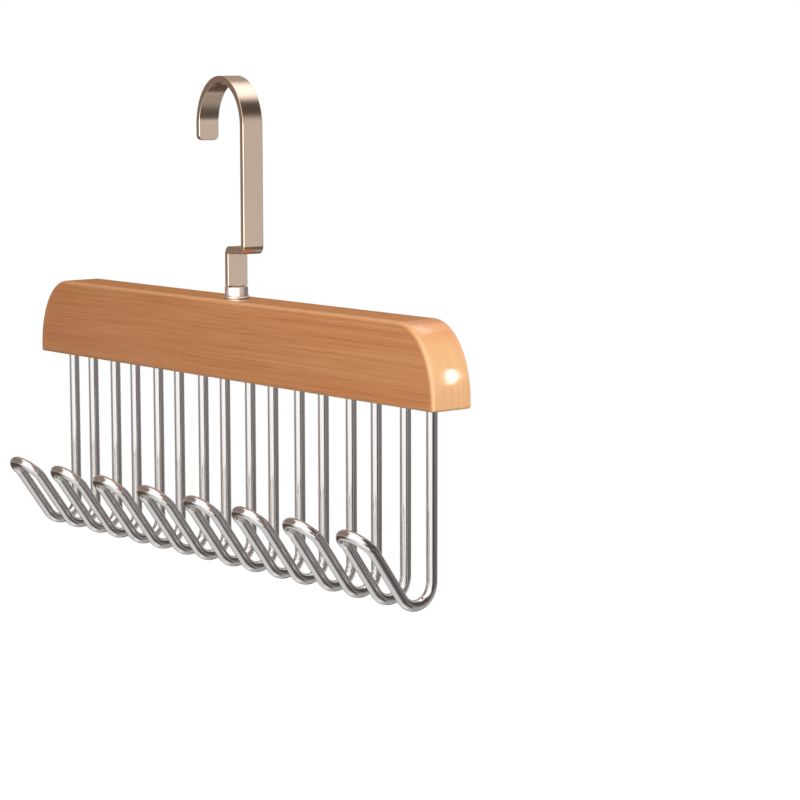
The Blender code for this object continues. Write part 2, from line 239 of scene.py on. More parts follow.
# Panels of the stage: azimuths from +X and elevations in degrees, distance and glow. A
# panel hides the ones behind it, so each lies a little nearer than the one before.
PANELS = (
    ("ground_card", (-190, 190), (-88, -34), 1.35, (0.69, 0.68, 0.67)),
    ("front_low_softbox", (-86, -14), (-50, 12), 1.34, (0.98, 0.97, 0.95)),
    ("front_low_screen", (-130, -76), (-46, 12), 1.33, (0.62, 0.62, 0.61)),
    ("left_low_screen", (-212, -114), (-46, 0), 1.32, (0.09, 0.07, 0.048)),
    ("right_low_card", (26, 96), (-80, 4), 1.31, (0.40, 0.39, 0.37)),
    ("right_low_screen", (-19, 38), (-58, 4), 1.30, (0.085, 0.085, 0.085)),
    ("foot_screen", (-36, 4), (-62, -42), 1.295, (0.18, 0.18, 0.18)),
    ("back_low_screen", (94, 160), (-64, -18), 1.29, (0.09, 0.07, 0.05)),
    ("back_card", (72, 142), (-20, 46), 1.28, (0.33, 0.32, 0.30)),
    ("back_left_card", (118, 188), (8, 62), 1.27, (0.46, 0.42, 0.37)),
    ("back_left_screen", (134, 192), (-20, 24), 1.26, (0.14, 0.10, 0.075)),
    ("warm_screen", (128, 200), (-3, 26), 1.255, (0.42, 0.19, 0.08)),
    ("left_screen", (-192, -97), (-20, 66), 1.25, (0.26, 0.20, 0.17)),
    ("left_belt", (-198, -104), (-16, 4), 1.245, (0.34, 0.33, 0.32)),
    ("right_belt", (-34, 92), (-22, 12), 1.24, (0.075, 0.072, 0.072)),
    ("middle_belt", (8, 86), (-18, 2), 1.238, (0.22, 0.21, 0.21)),
    ("front_belt", (-121, -26), (-18, 4), 1.235, (1.10, 1.10, 1.10)),
    ("right_screen", (-12, 86), (-6, 58), 1.23, (0.095, 0.078, 0.068)),
    ("overhead_softbox", (34, 140), (55, 86), 1.22, (1.9, 1.9, 1.9)),
    ("back_softbox", (80, 128), (36, 60), 1.21, (1.2, 1.2, 1.2)),
    ("front_softbox", (-102, -20), (-7, 76), 0.62, (1.3, 1.3, 1.3)),
)

# The only pieces that the two panels below light
HOOK_PIECES = ("flat_hook", "turned_ferrule")

# Panels for the flat hook's face and for its rounded edge, each with its own fades at the end
# of its row. They add their glow to that of the panels behind them.
HOOK_PANELS = (
    ("face_panel", (3, 45), (-12, 31), 1.225, (0.60, 0.605, 0.62), (9, 4, 17)),
    ("edge_panel", (-118, -4), (-10, 16), 0.60, (2.6, 2.6, 2.6), (9, 4, 4)),
)

# White with its alpha, for the floor's glow, the world and clear paint
WHITE = (1, 1, 1, 1)


def linear(red, green, blue):
    """A colour for the shaders from its 8-bit values on a screen."""
    channels = []
    for value in (red, green, blue):
        share = value / 255
        channels.append(share / 12.92 if share <= 0.04045 else ((share + 0.055) / 1.055) ** 2.4)
    return tuple(channels)


def length(name, description, default):
    """A property that holds a length."""
    return FloatProperty(
        name=name, description=description, default=default, min=0, precision=4, unit="LENGTH"
    )


def angle(name, description, degrees):
    """A property that holds an angle."""
    return FloatProperty(
        name=name, description=description, default=math.radians(degrees), subtype="ANGLE"
    )


def colour(name, description, default):
    """A property that holds a colour."""
    return FloatVectorProperty(
        name=name, description=description, default=default, min=0, max=1, size=3, subtype="COLOR"
    )


def number(name, description, default):
    """A property that holds a plain number."""
    return FloatProperty(name=name, description=description, default=default)


class HangerBarSettings(bpy.types.PropertyGroup):
    """Sizes and colours of the wooden bar."""

    end_foot: length("End foot", "Height of the upright foot of each end", 0.0030)
    end_round: length("End round", "Length of the rounding at each end", 0.0225)
    edge_radius: length("Edge radius", "Rounding of the outline's edges", 0.0021)
    bottom_radius: length("Bottom edge radius", "Rounding of the underside's edges", 0.0013)
    hole_gap: length("Hole gap", "Gap round a wire leg in its hole", 0.0002)
    bore_radius: length("Bore radius", "Radius of the bore for the ferrule", 0.0043)
    pale: colour("Pale wood", "Colour of the pale streaks", linear(213, 150, 99))
    middle: colour("Middle wood", "Colour of most of the wood", linear(200, 132, 81))
    deep: colour("Deep wood", "Colour of the dark streaks", linear(180, 108, 60))
    warm: colour("Warm wood", "Colour of the reddish clouds", linear(200, 120, 68))
    golden: colour("Golden wood", "Colour of the yellowish clouds", linear(206, 146, 94))
    # Paler ends: partly the end grain's own tone, partly painted sheen
    end_grain_and_sheen: colour("End grain", "Colour of the ends", linear(214, 176, 131))
    # Painted highlight: a paler colour along the rounded edges of the front and the back
    edge: colour("Edge", "Colour of the rounded edges", linear(240, 192, 145))
    pore: colour("Pores", "Colour of the fine pores", linear(160, 96, 56))


class HangerWireSettings(bpy.types.PropertyGroup):
    """Sizes and colour of the wire hooks."""

    diameter: length("Wire", "Diameter of the wire", 0.0048)
    spacing: length("Leg spacing", "Distance between the two legs of a hook", 0.0170)
    seat: length("Seat", "Depth of a leg in the wood", 0.0140)
    drop: length("Drop", "Straight length of a leg below the bar", 0.0735)
    foot_bend: length("Foot bend", "Radius of the bend at the foot", 0.00895)
    rise: length("Rise", "Straight length of the rise", 0.0261)
    rise_angle: angle("Rise angle", "Slope of the rise", 55)
    lip_bend: length("Lip bend", "Radius of the bend under the lip", 0.0067)
    lip_angle: angle("Lip angle", "Slope of the lip", 42.2)
    sides: IntProperty(name="Sides", description="Sides of the wire", default=32, min=8)
    tint: colour("Steel", "Colour of the polished steel", linear(240, 237, 236))


class HangerStrapSettings(bpy.types.PropertyGroup):
    """Sizes and colour of the flat hook."""

    width: length("Width", "Width of the strip", 0.0100)
    thickness: length("Thickness", "Thickness of the strip", 0.0030)
    edge_radius: length("Edge radius", "Rounding of the strip's edges", 0.0010)
    bend: length("Bend", "Inner radius of the sharp bends", 0.0007)
    arch: length("Arch", "Inner radius of the arch at the top", 0.0194)
    offset: length("Offset", "Distance of the arch's middle from the swivel", 0.0057)
    jog: length("Jog", "Height of the jog above the bar", 0.0222)
    free_end: length("Free end", "Straight length of the free end", 0.0070)
    end_corner: length("End corner", "Rounding of the free end's corners", 0.0025)
    tongue_width: length("Tongue width", "Width of the tongue in the ferrule", 0.0054)
    tongue_length: length("Tongue length", "Length of the tongue in the ferrule", 0.0040)
    turn: angle("Turn", "Turn of the hook on its swivel", -8.2)
    tint: colour("Champagne", "Colour of the champagne plating", linear(228, 204, 184))
    brushed: colour("Brushed champagne", "Colour of the brushed lines", linear(210, 190, 171))


class HangerFerruleSettings(bpy.types.PropertyGroup):
    """Sizes and colour of the ferrule."""

    radius: length("Collar radius", "Radius of the collar", 0.0053)
    edge_radius: length("Edge radius", "Rounding of the collar's upper edge", 0.0003)
    flare: length("Flare", "How far the foot of the collar spreads", 0.0009)
    flare_height: length("Flare height", "Height of the spreading foot", 0.0018)
    rim_height: length("Rim height", "Height of the upright rim at the foot", 0.0003)
    barrel_radius: length("Barrel radius", "Radius of the barrel in the wood", 0.0040)
    stem_bore: length("Stem bore", "Radius of the bore round the stem", 0.0024)
    head_bore: length("Head bore", "Radius of the bore round the stem's head", 0.0035)
    head_depth: length("Head depth", "Depth of the bore round the stem's head", 0.0051)
    tint: colour("Polished metal", "Colour of the polished ferrule", linear(246, 236, 222))


class HangerStemSettings(bpy.types.PropertyGroup):
    """Colours of the hidden stem and its washer."""

    tint: colour("Turned steel", "Colour of the turned steel", linear(196, 196, 194))
    groove: colour("Turning marks", "Colour of the turning marks", linear(168, 168, 166))


class HangerStageSettings(bpy.types.PropertyGroup):
    """The studio round the hanger and its camera."""

    floor_drop: length("Floor drop", "Distance of the floor below the hanger", 1.25)
    floor_radius: length("Floor radius", "Radius of the floor", 5.0)
    floor: colour("Floor", "Colour of the floor", linear(248, 248, 248))
    fill: number("Fill", "Strength of the even light from all round", 0.42)
    key: number("Key", "Power of the key lamp in watts", 11.5)
    front: number("Front", "Power of the front lamp in watts", 4.4)
    glint: number("Glint", "Power in watts of the slim lamp that makes the end's glint", 0.0004)
    glint_spread: angle("Glint spread", "Spread of the glint lamp's beam", 20)
    shine: number("Shine", "Power in watts of the slim lamp over the end's corner", 0.00075)
    shine_spread: angle("Shine spread", "Spread of the shine lamp's beam", 60)
    lens: FloatProperty(name="Lens", description="Focal length in millimetres", default=115.99)
    distance: length("Distance", "Distance of the camera from its aim", 1.0834)
    azimuth: angle("Azimuth", "Direction of the camera, right of the front", 50.018)
    elevation: angle("Elevation", "Height of the camera over the horizon", 7.627)
    roll: angle("Roll", "Turn of the camera on its own axis", -0.0653)
    aim_right: length("Aim right", "Distance of the aim along the bar from the stem", 0.11498)
    aim_drop: length("Aim drop", "Distance of the aim below the bar's top", 0.03489)


class Signal:
    """A shader socket on which Python's operators add Math nodes."""

    def __init__(self, shader, socket):
        self.shader = shader
        self.socket = socket

    def __add__(self, other):
        return self.shader.math("ADD", self, other)

    def __radd__(self, other):
        return self.shader.math("ADD", other, self)

    def __sub__(self, other):
        return self.shader.math("SUBTRACT", self, other)

    def __rsub__(self, other):
        return self.shader.math("SUBTRACT", other, self)

    def __mul__(self, other):
        return self.shader.math("MULTIPLY", self, other)

    def __rmul__(self, other):
        return self.shader.math("MULTIPLY", other, self)


class Shader:
    """The nodes of one material or of the world."""

    def __init__(self, owner):
        owner.use_nodes = True
        self.tree = owner.node_tree
        self.tree.nodes.clear()

    def node(self, kind, settings=None, inputs=None, output=0):
        """Add a node: its settings first, then the values or links of its sockets."""
        node = self.tree.nodes.new(kind)
        for key, value in (settings or {}).items():
            setattr(node, key, value)
        for key, value in (inputs or {}).items():
            if isinstance(value, Signal):
                self.tree.links.new(value.socket, node.inputs[key])
            else:
                node.inputs[key].default_value = value
        return Signal(self, node.outputs[output]) if len(node.outputs) else None

    def outputs(self, kind, names, inputs=None):
        """Add a node and give several of its outputs."""
        first = self.node(kind, {}, inputs, names[0])
        return [Signal(self, first.socket.node.outputs[name]) for name in names]

    def math(self, operation, *values):
        """Add a Math node on one or more values or signals."""
        return self.node("ShaderNodeMath", {"operation": operation}, dict(enumerate(values)))

    def seen(self):
        """One where the camera looks, also by way of gloss or glass, and nought elsewhere."""
        names = ("Is Camera Ray", "Is Glossy Ray", "Is Transmission Ray")
        camera, glossy, through = self.outputs("ShaderNodeLightPath", names)
        return self.math("MAXIMUM", self.math("MAXIMUM", camera, glossy), through)

    def place(self, scale=(1, 1, 1), turn=(0, 0, 0), shift=(0, 0, 0), bend=None):
        """The place on the piece, moved, turned and then stretched."""
        moved = self.node(
            "ShaderNodeMapping",
            {"vector_type": "POINT"},
            {
                "Vector": self.node("ShaderNodeTexCoord", output="Object"),
                "Location": shift,
                "Rotation": turn,
            },
        )
        if bend:
            moved = self.node("ShaderNodeVectorMath", {"operation": "ADD"}, {0: moved, 1: bend})
        return self.node(
            "ShaderNodeVectorMath", {"operation": "MULTIPLY"}, {0: moved, 1: scale}
        )

    def pattern(self, row, turn=(0, 0, 0), bend=None):
        """Noise between nought and one, as a row of the patterns says."""
        scale, shift, detail, roughness = row
        place = self.place(scale, turn, shift, bend)
        return self.node(
            "ShaderNodeTexNoise",
            {},
            {"Vector": place, "Scale": 1, "Detail": detail, "Roughness": roughness},
        )

    def between(self, value, low, high):
        """Nought below one value and one above another, with a soft step between."""
        return self.node(
            "ShaderNodeMapRange",
            {"interpolation_type": "SMOOTHSTEP"},
            {"Value": value, "From Min": low, "From Max": high},
        )

    def mix(self, share, first, second):
        """Mix two colours."""
        return self.node(
            "ShaderNodeMix",
            {"data_type": "RGBA"},
            {"Factor": share, "A": rgba(first), "B": rgba(second)},
            "Result",
        )

    def dot(self, place, way):
        """How far a place lies along a way."""
        return self.node(
            "ShaderNodeVectorMath", {"operation": "DOT_PRODUCT"}, {0: place, 1: way}, "Value"
        )

    def bump(self, height, distance):
        """Normals of a surface raised by a height signal over a distance."""
        return self.node(
            "ShaderNodeBump", {}, {"Height": height, "Distance": distance, "Strength": 1}
        )

    def surface(self, inputs):
        """Finish a material with a Principled shader."""
        self.finish(self.node("ShaderNodeBsdfPrincipled", {}, inputs))

    def blend(self, share, first, second):
        """Blend two shaders."""
        return self.node("ShaderNodeMixShader", {}, {0: share, 1: first, 2: second})

    def finish(self, surface, kind="ShaderNodeOutputMaterial"):
        """Lead the shader to the output."""
        self.node(kind, {}, {"Surface": surface})


def towards(azimuth, elevation):
    """A direction from its degrees right of +X and above the horizon."""
    turn, lift = math.radians(azimuth), math.radians(elevation)
    return Vector(
        (math.cos(turn) * math.cos(lift), math.sin(turn) * math.cos(lift), math.sin(lift))
    )


def sine(degrees):
    """Sine of an angle in degrees."""
    return math.sin(math.radians(degrees))


def rgba(value):
    """A colour with its alpha, or a signal as it is."""
    return value if isinstance(value, Signal) else (*value, 1)


def new_shader(name):
    """A material and the builder of its nodes."""
    material = bpy.data.materials.new(name)
    return material, Shader(material)


def wood_material(bar):
    """Lacquered wood with fine straight grain along X.

    The figure is drawn out along the bar and lies in thin upright layers, so that the
    front shows long streaks and the ends show upright lines.
    """
    material, shader = new_shader("lacquered_wood")
    normal = shader.node("ShaderNodeTexCoord", output="Normal")
    endways, sideways = shader.outputs("ShaderNodeSeparateXYZ", ("X", "Y"), {0: normal})
    lift = shader.pattern(WANDER) * WANDER_HEIGHT + shader.pattern(RIPPLE) * RIPPLE_HEIGHT
    bend = shader.node("ShaderNodeCombineXYZ", {}, {"Y": lift * DEPTH_SHARE, "Z": lift})
    figure = shader.pattern(FIGURE, bend=bend)
    streak = shader.pattern(STREAK, bend=bend)
    fibre = shader.pattern(FIBRE, bend=bend)
    warm = shader.pattern(WARM_CLOUD)
    golden = shader.pattern(GOLDEN_CLOUD)
    ends = shader.between(endways * endways, *END_RANGE)
    side_tone = figure * FIGURE_SHARE + streak * STREAK_SHARE + fibre * FIBRE_SHARE
    end_tone = shader.pattern(END_LAYER) * LAYER_SHARE + shader.pattern(END_LINE) * LINE_SHARE
    tone = side_tone + (end_tone - side_tone) * ends
    body = shader.mix(shader.between(tone, *MIDDLE_RANGE), bar.deep, bar.middle)
    body = shader.mix(shader.between(tone, *PALE_RANGE), body, bar.pale)
    body = shader.mix(shader.between(warm, *WARM_RANGE) * WARM_SHARE, body, bar.warm)
    body = shader.mix(shader.between(golden, *GOLDEN_RANGE) * GOLDEN_SHARE, body, bar.golden)
    # Paler ends: partly the end grain's own tone, partly painted sheen
    body = shader.mix(ends * END_GRAIN_AND_SHEEN_SHARE, body, bar.end_grain_and_sheen)
    # Painted highlight: the rounded edges of the front and the back turn paler, more so at the
    # ends
    # The product is a quarter at most, halfway round an edge
    edge = sideways * sideways * (1 - sideways * sideways) * 4
    body = shader.mix(edge * (ends * END_EDGE_HIGHLIGHT_GAIN + EDGE_HIGHLIGHT_SHARE), body, bar.edge)
    pore = shader.between(fibre, *PORE_FIBRE_RANGE) * shader.between(streak, *PORE_STREAK_RANGE)
    body = shader.mix(pore * (PORE_SHARE - ends * END_PORE_LOSS), body, bar.pore)
    roughness = fibre * FIBRE_ROUGHNESS + pore * PORE_ROUGHNESS + WOOD_ROUGHNESS
    shader.surface(
        {
            "Base Color": body,
            "Roughness": roughness,
            "Coat Weight": 0.8,
            "Coat Roughness": 0.07,
            "Coat IOR": 1.45,
            "IOR": 1.4,
            "Specular IOR Level": 0.2,
            "Normal": shader.bump(fibre * FIBRE_HEIGHT - pore, LACQUER_RELIEF),
        }
    )
    return material


def metal_surface(shader, shade, roughness, normal):
    """Finish a material as bare metal."""
    shader.surface({"Base Color": shade, "Metallic": 1, "Roughness": roughness, "Normal": normal})


def polished_material(name, tint, roughness):
    """Polished metal with faint smears and a very slight waviness."""
    material, shader = new_shader(name)
    low, high = roughness
    smear = shader.pattern(SMEAR)
    dull = tuple(SMEAR_BRIGHTNESS * channel for channel in tint)
    shade = shader.mix(smear * SMEAR_SHARE, tint, dull)
    relief = shader.bump(shader.pattern(WAVE), POLISH_RELIEF)
    metal_surface(shader, shade, smear * (high - low) + low, relief)
    return material


def champagne_material(strap):
    """Satin champagne plating, brushed along the strip."""
    material, shader = new_shader("champagne_plating")
    turn = (0, 0, -strap.turn)
    brushed = shader.pattern(BRUSHING, turn)
    cloud = shader.pattern(PLATING_CLOUD, turn)
    marks = brushed * BRUSHED_SHARE + cloud * CLOUD_SHARE
    shade = shader.mix(marks, strap.tint, strap.brushed)
    roughness = brushed * PLATING_GRAIN + cloud * PLATING_GRAIN + PLATING_ROUGHNESS
    metal_surface(shader, shade, roughness, shader.bump(brushed, BRUSHED_RELIEF))
    return material


def turned_material(stem):
    """Plain turned steel of the hidden stem and its washer."""
    material, shader = new_shader("turned_steel")
    turned = shader.pattern(TURNING)
    shade = shader.mix(turned * GROOVE_SHARE, stem.tint, stem.groove)
    roughness = turned * GROOVE_ROUGHNESS + TURNED_ROUGHNESS
    metal_surface(shader, shade, roughness, shader.bump(turned, TURNED_RELIEF))
    return material


def select_only(piece):
    """Select one object and make it the active one."""
    bpy.ops.object.select_all(action="DESELECT")
    piece.select_set(True)
    bpy.context.view_layer.objects.active = piece


def start_piece(name):
    """Name the primitive that was just added and settle its place in its mesh."""
    piece = bpy.context.active_object
    piece.name = name
    piece.data.name = name
    settle(piece)
    return piece


def settle(piece):
    """Move an object's place, turn and size into its mesh."""
    select_only(piece)
    bpy.ops.object.transform_apply(location=True, rotation=True, scale=True)


def draw_line(name, points):
    """Draw an open line from one vertex, and leave it in edit mode, all selected."""
    bpy.ops.object.select_all(action="DESELECT")
    bpy.ops.mesh.primitive_plane_add(size=1, location=points[0])
    piece = start_piece(name)
    edit(piece, "VERT")
    pick(piece, "VERT", lambda vert: vert.index > 0)
    bpy.ops.mesh.delete(type="VERT")
    bpy.ops.mesh.select_all(action="SELECT")
    corner = next(iter(bmesh.from_edit_mesh(piece.data).verts)).co.copy()
    bpy.ops.transform.translate(value=points[0] - corner)
    for start, end in zip(points, points[1:]):
        bpy.ops.mesh.extrude_vertices_move(TRANSFORM_OT_translate={"value": end - start})
    bpy.ops.mesh.select_all(action="SELECT")
    return piece


def edit(piece, kind):
    """Open a piece in edit mode with nothing selected."""
    select_only(piece)
    bpy.ops.object.mode_set(mode="EDIT")
    bpy.ops.mesh.select_mode(type=kind)
    bpy.ops.mesh.select_all(action="DESELECT")


def close_edit():
    """Go back to object mode."""
    bpy.ops.object.mode_set(mode="OBJECT")


def pick(piece, kind, test):
    """Select what passes a test, in a piece that is open in edit mode."""
    bpy.ops.mesh.select_mode(type=kind)
    bpy.ops.mesh.select_all(action="DESELECT")
    bm = bmesh.from_edit_mesh(piece.data)
    items = {"VERT": bm.verts, "EDGE": bm.edges, "FACE": bm.faces}[kind]
    for item in items:
        if test(item):
            item.select_set(True)
    bmesh.update_edit_mesh(piece.data)


def middle_of(edge):
    """Middle of an edge."""
    return (edge.verts[0].co + edge.verts[1].co) / 2


def runs_along(edge, axis):
    """Whether an edge runs along an axis, given by its number."""
    way = edge.verts[1].co - edge.verts[0].co
    return abs(way[axis]) > NEARLY * way.length


def is_sharp(edge):
    """Whether the faces beside an edge meet at a corner."""
    return edge.calc_face_angle(0) > CORNER_ANGLE


def extrude(offset):
    """Pull the selected faces out."""
    bpy.ops.mesh.extrude_region_move(TRANSFORM_OT_translate={"value": offset})


def extrude_run(offset, margin):
    """Pull the selected faces out in one run with a ring close to each of its ends.

    The rings keep the smooth shading of the bends away from the straight.
    """
    offset = Vector(offset)
    short = offset.normalized() * margin
    extrude(short)
    extrude(offset - 2 * short)
    extrude(short)


def bevel(radius, steps):
    """Round the selected edges."""
    bpy.ops.mesh.bevel(offset=radius, segments=steps, profile=0.5, affect="EDGES")


def spin(turn, steps, centre, axis):
    """Carry the selection round an axis by a right-handed turn."""
    bpy.ops.mesh.spin(steps=steps, angle=-turn, center=centre, axis=axis)


def tidy_shell():
    """Merge doubles of the mesh in edit mode and turn its faces outwards."""
    bpy.ops.mesh.select_all(action="SELECT")
    bpy.ops.mesh.remove_doubles(threshold=MERGE_DISTANCE)
    bpy.ops.mesh.normals_make_consistent(inside=False)


def apply_modifier(piece, kind, **settings):
    """Add a modifier, set it and apply it."""
    select_only(piece)
    modifier = piece.modifiers.new(kind.lower(), kind)
    for key, value in settings.items():
        setattr(modifier, key, value)
    bpy.ops.object.modifier_apply(modifier=modifier.name)


def smooth(piece, degrees):
    """Shade smoothly and keep corners sharper than an angle."""
    select_only(piece)
    bpy.ops.object.shade_smooth_by_angle(angle=math.radians(degrees))


def copy_piece(piece, name):
    """A copy of a piece with its own mesh."""
    twin = piece.copy()
    twin.data = piece.data.copy()
    twin.name = name
    twin.data.name = name
    bpy.context.scene.collection.objects.link(twin)
    return twin


def dress(piece, material, body, node):
    """Give a piece its material and its place in the frame."""
    piece.data.materials.clear()
    piece.data.materials.append(material)
    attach(piece, body)
    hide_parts(node)


def hook_middles():
    """Middles of the wire hooks along X."""
    middles = []
    for name in HOOK_NODES:
        low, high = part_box(name)
        middles.append((low.x + high.x) / 2)
    return middles


class HANGER_OT_bar(bpy.types.Operator):
    """Model the lacquered wooden bar"""

    bl_idname = "hanger.bar"
    bl_label = "Wooden Bar"

    def execute(self, context):
        bar = context.scene.hanger_bar
        wire = context.scene.hanger_wire
        size = BAR_HIGH - BAR_LOW
        round_height = size.z - bar.end_foot
        squash = bar.end_round / round_height
        squashed_top = size.z * squash
        bpy.ops.object.select_all(action="DESELECT")
        bpy.ops.mesh.primitive_cube_add(
            size=1,
            location=(0, 0, squashed_top / 2),
            scale=(size.x, size.y, squashed_top),
        )
        piece = start_piece("hanger_bar")
        self.round_ends(piece, bar, squashed_top, squash)
        self.round_edges(piece, bar)
        piece.location = (STEM_X, STEM_Y, BAR_BOTTOM)
        settle(piece)
        self.drill(piece, bar, wire)
        smooth(piece, SMOOTH_BAR)
        apply_modifier(piece, "WEIGHTED_NORMAL", keep_sharp=True)
        dress(piece, wood_material(bar), "bar", "wood_bar")
        return {"FINISHED"}

    @staticmethod
    def round_ends(piece, bar, top, squash):
        """Bevel the upper end edges of the squashed block, then stretch it to its height."""
        edit(piece, "EDGE")
        pick(
            piece,
            "EDGE",
            lambda edge: runs_along(edge, Y_AXIS) and middle_of(edge).z > top * NEARLY,
        )
        bevel(bar.end_round, END_ROUND_STEPS)
        bpy.ops.mesh.select_all(action="SELECT")
        bpy.ops.transform.resize(value=(1, 1, 1 / squash), center_override=(0, 0, 0))
        close_edit()

    @staticmethod
    def round_edges(piece, bar):
        """Round the outline's edges, less along the underside."""
        low = bar.end_foot / 4
        edit(piece, "EDGE")
        pick(piece, "EDGE", lambda edge: is_sharp(edge) and middle_of(edge).z > low)
        bpy.ops.transform.edge_bevelweight(value=1)
        pick(piece, "EDGE", lambda edge: is_sharp(edge) and middle_of(edge).z < low)
        bpy.ops.transform.edge_bevelweight(value=bar.bottom_radius / bar.edge_radius)
        close_edit()
        apply_modifier(
            piece,
            "BEVEL",
            width=bar.edge_radius,
            segments=BAR_EDGE_STEPS,
            limit_method="WEIGHT",
        )

    @staticmethod
    def drill(piece, bar, wire):
        """Drill the holes for the wire legs and the bore for the ferrule."""
        depth = wire.seat + 2 * bar.hole_gap
        bpy.ops.object.select_all(action="DESELECT")
        bpy.ops.mesh.primitive_cylinder_add(
            vertices=LEG_HOLE_SIDES,
            radius=wire.diameter / 2 + bar.hole_gap,
            depth=depth + DRILL_OVERRUN,
            location=(0, STEM_Y, BAR_BOTTOM + (depth - DRILL_OVERRUN) / 2),
        )
        drill = start_piece("leg_drill")
        drills = []
        for middle in hook_middles():
            for side in (-1, 1):
                twin = copy_piece(drill, "leg_drill_copy")
                twin.location.x = middle + side * wire.spacing / 2
                drills.append(twin)
        bpy.data.objects.remove(drill, do_unlink=True)
        bore_depth = BAR_TOP - STEM_LOW.z + bar.hole_gap
        bpy.ops.mesh.primitive_cylinder_add(
            vertices=BORE_SIDES,
            radius=bar.bore_radius,
            depth=bore_depth + DRILL_OVERRUN,
            location=(STEM_X, STEM_Y, BAR_TOP - (bore_depth - DRILL_OVERRUN) / 2),
        )
        bore = start_piece("ferrule_drill")
        select_only(bore)
        for twin in drills:
            twin.select_set(True)
        bpy.ops.object.join()
        apply_modifier(piece, "BOOLEAN", operation="DIFFERENCE", solver="EXACT", object=bore)
        bpy.data.objects.remove(bore, do_unlink=True)


class HANGER_OT_wire_hooks(bpy.types.Operator):
    """Model one wire hook and copy it along the bar"""

    bl_idname = "hanger.wire_hooks"
    bl_label = "Wire Hooks"

    def execute(self, context):
        wire = context.scene.hanger_wire
        first = self.bend_wire(wire)
        material = polished_material("polished_wire", wire.tint, WIRE_ROUGHNESS)
        for name, middle in zip(HOOK_NODES, hook_middles()):
            piece = copy_piece(first, "bent_" + name)
            piece.location = (middle, STEM_Y, BAR_BOTTOM)
            settle(piece)
            smooth(piece, SMOOTH_WIRE)
            dress(piece, material, "bar", name)
        bpy.data.objects.remove(first, do_unlink=True)
        return {"FINISHED"}

    @staticmethod
    def bend_wire(wire):
        """Draw the wire down one leg, round the foot and the lip, and back up."""
        half = wire.spacing / 2
        bpy.ops.object.select_all(action="DESELECT")
        bpy.ops.mesh.primitive_circle_add(
            vertices=wire.sides,
            radius=wire.diameter / 2,
            fill_type="NGON",
            location=(half, 0, wire.seat),
        )
        piece = start_piece("wire_hook_pattern")
        margin = wire.diameter / 8
        slope = Vector((0, -math.cos(wire.rise_angle), math.sin(wire.rise_angle)))
        under = Vector((0, -math.sin(wire.rise_angle), -math.cos(wire.rise_angle)))
        foot_turn = math.pi / 2 + wire.rise_angle
        lip_turn = wire.rise_angle - wire.lip_angle
        foot_centre = Vector((0, -wire.foot_bend, -wire.drop))
        rise_start = foot_centre + under * wire.foot_bend
        lip_centre = rise_start + slope * wire.rise + under * wire.lip_bend
        lip_under = Vector((0, -math.sin(wire.lip_angle), -math.cos(wire.lip_angle)))
        turn_centre = lip_centre - lip_under * wire.lip_bend
        edit(piece, "FACE")
        bpy.ops.mesh.select_all(action="SELECT")
        extrude_run((0, 0, -wire.seat - wire.drop), margin)
        spin(-foot_turn, FOOT_BEND_STEPS, foot_centre, (1, 0, 0))
        extrude_run(slope * wire.rise, margin)
        spin(lip_turn, LIP_BEND_STEPS, lip_centre, (1, 0, 0))
        spin(math.pi, LIP_TURN_STEPS, turn_centre, lip_under)
        spin(-lip_turn, LIP_BEND_STEPS, lip_centre, (1, 0, 0))
        extrude_run(-slope * wire.rise, margin)
        spin(foot_turn, FOOT_BEND_STEPS, foot_centre, (1, 0, 0))
        extrude_run((0, 0, wire.seat + wire.drop), margin)
        tidy_shell()
        close_edit()
        return piece


